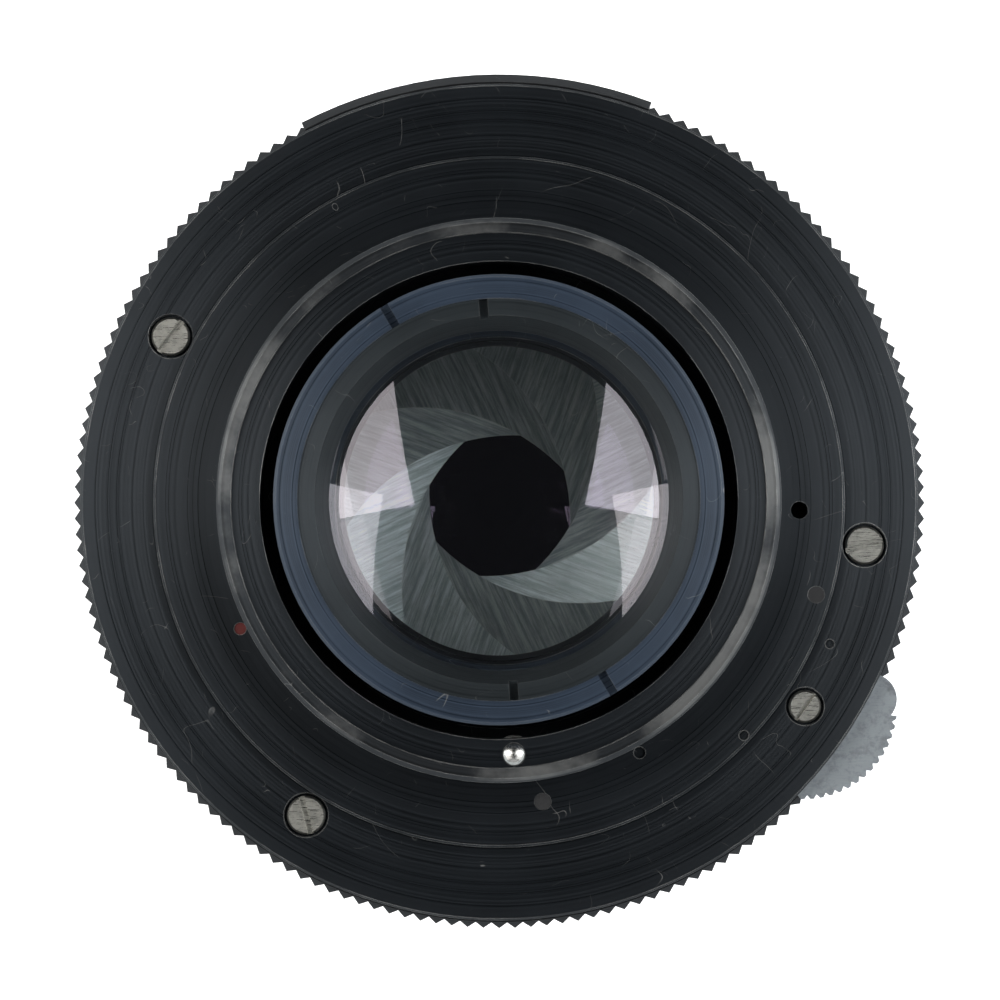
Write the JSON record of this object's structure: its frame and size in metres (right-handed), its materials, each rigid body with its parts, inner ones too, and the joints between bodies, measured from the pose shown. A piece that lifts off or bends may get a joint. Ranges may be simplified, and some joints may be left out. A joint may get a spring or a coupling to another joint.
{
  "type": "prime camera lens",
  "caption": "Screw-mount prime camera lens with turning focus and aperture rings, a leaf iris, a spring aperture pin and a mode lever.",
  "frame": {"origin": "centre of the flange face that seats on the camera body", "axes": "+Z along the optical axis towards the camera body, +Y towards the top of the lens where its setting index is"},
  "size_m": [0.0644, 0.0647, 0.0522],
  "materials": {
    "mount_plate": "black anodised, fine turned",
    "fixed_barrel": "black anodised, fine turned",
    "aperture_ring": "black anodised, fine turned",
    "index_ring": "black anodised, fine turned",
    "nut_retainer": "black anodised, fine turned",
    "focus_grip": "black anodised, fine turned",
    "front_barrel": "black anodised, fine turned",
    "name_ring": "black anodised, fine turned",
    "front_cell": "black anodised, fine turned",
    "front_retainer": "black anodised, fine turned",
    "front_spacer": "black anodised, fine turned",
    "rear_retainer": "black anodised, fine turned",
    "rear_spacer": "black anodised, fine turned",
    "iris_base": "black anodised, fine turned",
    "iris_drive_ring": "black anodised, fine turned",
    "mechanism_plate": "black anodised, fine turned",
    "lens_barrel": "dark anodised, turned",
    "rear_cell": "steel-blue anodised",
    "iris_blade_1": "blued spring steel",
    "iris_blade_2": "blued spring steel",
    "iris_blade_3": "blued spring steel",
    "iris_blade_4": "blued spring steel",
    "iris_blade_5": "blued spring steel",
    "iris_blade_6": "blued spring steel",
    "iris_blade_7": "blued spring steel",
    "iris_blade_8": "blued spring steel",
    "mount_screws": "bright steel",
    "lever_pivot_screw": "bright steel",
    "aperture_pin": "bright steel",
    "rocker_axle": "bright steel",
    "rocker_bracket": "bright steel",
    "stop_down_rocker": "bright steel",
    "index_ring_screws": "bright steel",
    "focus_ring_screws": "bright steel",
    "iris_snap_ring": "bright steel",
    "pin_spring": "bright steel",
    "plate_plugs": "black",
    "mode_lever": "bare, scratched",
    "guide_keys": "turned brass",
    "helicoid_nut": "turned brass",
    "red_index_dot": "red paint",
    "index_marks": "white paint",
    "rear_element": "polished, coated",
    "rear_doublet_crown": "polished, coated",
    "rear_doublet_flint": "polished, coated",
    "front_doublet_flint": "polished, coated",
    "front_doublet_crown": "polished, coated",
    "front_element": "polished, coated"
  },
  "bodies": {
    "mount": {"mount_plate": "mount_plate", "mount_screws": "mount_screws", "lever_pivot_screw": "lever_pivot_screw", "red_index_dot": "red_index_dot", "plate_plugs": "plate_plugs", "pin_spring": "pin_spring", "mechanism_plate": "mechanism_plate", "rocker_bracket": "rocker_bracket", "rocker_axle": "rocker_axle", "fixed_barrel": "fixed_barrel", "guide_keys": "guide_keys", "index_ring": "index_ring", "index_marks": "index_marks", "index_ring_screws": "index_ring_screws", "nut_retainer": "nut_retainer"},
    "mode_lever": {"mode_lever": "mode_lever"},
    "aperture_pin": {"aperture_pin": "aperture_pin"},
    "stop_down_rocker": {"stop_down_rocker": "stop_down_rocker"},
    "aperture_ring": {"aperture_ring": "aperture_ring"},
    "focus": {"helicoid_nut": "helicoid_nut", "focus_grip": "focus_grip", "focus_ring_screws": "focus_ring_screws"},
    "optics": {"lens_barrel": "lens_barrel", "iris_base": "iris_base", "iris_snap_ring": "iris_snap_ring", "rear_cell": "rear_cell", "rear_retainer": "rear_retainer", "rear_spacer": "rear_spacer", "rear_element": "rear_element", "rear_doublet_crown": "rear_doublet_crown", "rear_doublet_flint": "rear_doublet_flint", "front_cell": "front_cell", "front_doublet_flint": "front_doublet_flint", "front_doublet_crown": "front_doublet_crown", "front_element": "front_element", "front_spacer": "front_spacer", "front_retainer": "front_retainer", "front_barrel": "front_barrel", "name_ring": "name_ring"},
    "drive_ring": {"iris_drive_ring": "iris_drive_ring"},
    "iris_blade_1": {"iris_blade_1": "iris_blade_1"},
    "iris_blade_2": {"iris_blade_2": "iris_blade_2"},
    "iris_blade_3": {"iris_blade_3": "iris_blade_3"},
    "iris_blade_4": {"iris_blade_4": "iris_blade_4"},
    "iris_blade_5": {"iris_blade_5": "iris_blade_5"},
    "iris_blade_6": {"iris_blade_6": "iris_blade_6"},
    "iris_blade_7": {"iris_blade_7": "iris_blade_7"},
    "iris_blade_8": {"iris_blade_8": "iris_blade_8"}
  },
  "joints": [
    {"name": "mode_lever_turn", "type": "hinge", "parent": "mount", "child": "mode_lever", "pos_m": [0.02294, -0.01535, -0.00305], "axis": [0, 0, 1], "range_deg": [0, 32]},
    {"name": "aperture_pin_push", "type": "slide", "parent": "mount", "child": "aperture_pin", "axis": [0, 0, -1], "range_m": [0, 0.0015], "stiffness_N_per_m": 300, "springref_m": -0.001, "deforming": ["pin_spring"]},
    {"name": "stop_down_rocker_tilt", "type": "hinge", "parent": "mount", "child": "stop_down_rocker", "pos_m": [0.00711, -0.01851, -0.00775], "axis": [0.0593, -0.9982, 0], "range_deg": [0, 14.5]},
    {"name": "aperture_ring_turn", "type": "hinge", "parent": "mount", "child": "aperture_ring", "pos_m": [0, 0, -0.009], "axis": [0, 0, 1], "range_deg": [-24.4, 8.6]},
    {"name": "focus_ring_turn", "type": "hinge", "parent": "mount", "child": "focus", "pos_m": [0, 0, -0.028], "axis": [0, 0, 1], "range_deg": [0, 270]},
    {"name": "focus_slide", "type": "slide", "parent": "mount", "child": "optics", "axis": [0, 0, -1], "range_m": [0, 0.00802]},
    {"name": "iris_drive_turn", "type": "hinge", "parent": "optics", "child": "drive_ring", "pos_m": [0, 0, -0.01168], "axis": [0, 0, 1], "range_deg": [-2.57, 7.11]},
    {"name": "iris_blade_1_turn", "type": "hinge", "parent": "optics", "child": "iris_blade_1", "pos_m": [0.01577, 0.00519, -0.01178], "axis": [0, 0, 1], "range_deg": [-8.33, 23.46]},
    {"name": "iris_blade_2_turn", "type": "hinge", "parent": "optics", "child": "iris_blade_2", "pos_m": [0.00749, 0.01482, -0.01178], "axis": [0, 0, 1], "range_deg": [-8.33, 23.46]},
    {"name": "iris_blade_3_turn", "type": "hinge", "parent": "optics", "child": "iris_blade_3", "pos_m": [-0.00519, 0.01577, -0.01178], "axis": [0, 0, 1], "range_deg": [-8.33, 23.46]},
    {"name": "iris_blade_4_turn", "type": "hinge", "parent": "optics", "child": "iris_blade_4", "pos_m": [-0.01482, 0.00749, -0.01178], "axis": [0, 0, 1], "range_deg": [-8.33, 23.46]},
    {"name": "iris_blade_5_turn", "type": "hinge", "parent": "optics", "child": "iris_blade_5", "pos_m": [-0.01577, -0.00519, -0.01178], "axis": [0, 0, 1], "range_deg": [-8.33, 23.46]},
    {"name": "iris_blade_6_turn", "type": "hinge", "parent": "optics", "child": "iris_blade_6", "pos_m": [-0.00749, -0.01482, -0.01178], "axis": [0, 0, 1], "range_deg": [-8.33, 23.46]},
    {"name": "iris_blade_7_turn", "type": "hinge", "parent": "optics", "child": "iris_blade_7", "pos_m": [0.00519, -0.01577, -0.01178], "axis": [0, 0, 1], "range_deg": [-8.33, 23.46]},
    {"name": "iris_blade_8_turn", "type": "hinge", "parent": "optics", "child": "iris_blade_8", "pos_m": [0.01482, -0.00749, -0.01178], "axis": [0, 0, 1], "range_deg": [-8.33, 23.46]}
  ],
  "couplings": [
    {"joint": "focus_slide", "follows": "focus_ring_turn", "m_per_rad": 0.0016977},
    {"joint": "iris_drive_turn", "follows": "aperture_ring_turn", "ratio": -0.28721},
    {"joint": "stop_down_rocker_tilt", "follows": "aperture_pin_push", "rad_per_m": 166.67},
    {"joint": "iris_blade_1_turn", "follows": "aperture_ring_turn", "ratio": -0.95738},
    {"joint": "iris_blade_2_turn", "follows": "aperture_ring_turn", "ratio": -0.95738},
    {"joint": "iris_blade_3_turn", "follows": "aperture_ring_turn", "ratio": -0.95738},
    {"joint": "iris_blade_4_turn", "follows": "aperture_ring_turn", "ratio": -0.95738},
    {"joint": "iris_blade_5_turn", "follows": "aperture_ring_turn", "ratio": -0.95738},
    {"joint": "iris_blade_6_turn", "follows": "aperture_ring_turn", "ratio": -0.95738},
    {"joint": "iris_blade_7_turn", "follows": "aperture_ring_turn", "ratio": -0.95738},
    {"joint": "iris_blade_8_turn", "follows": "aperture_ring_turn", "ratio": -0.95738}
  ]
}
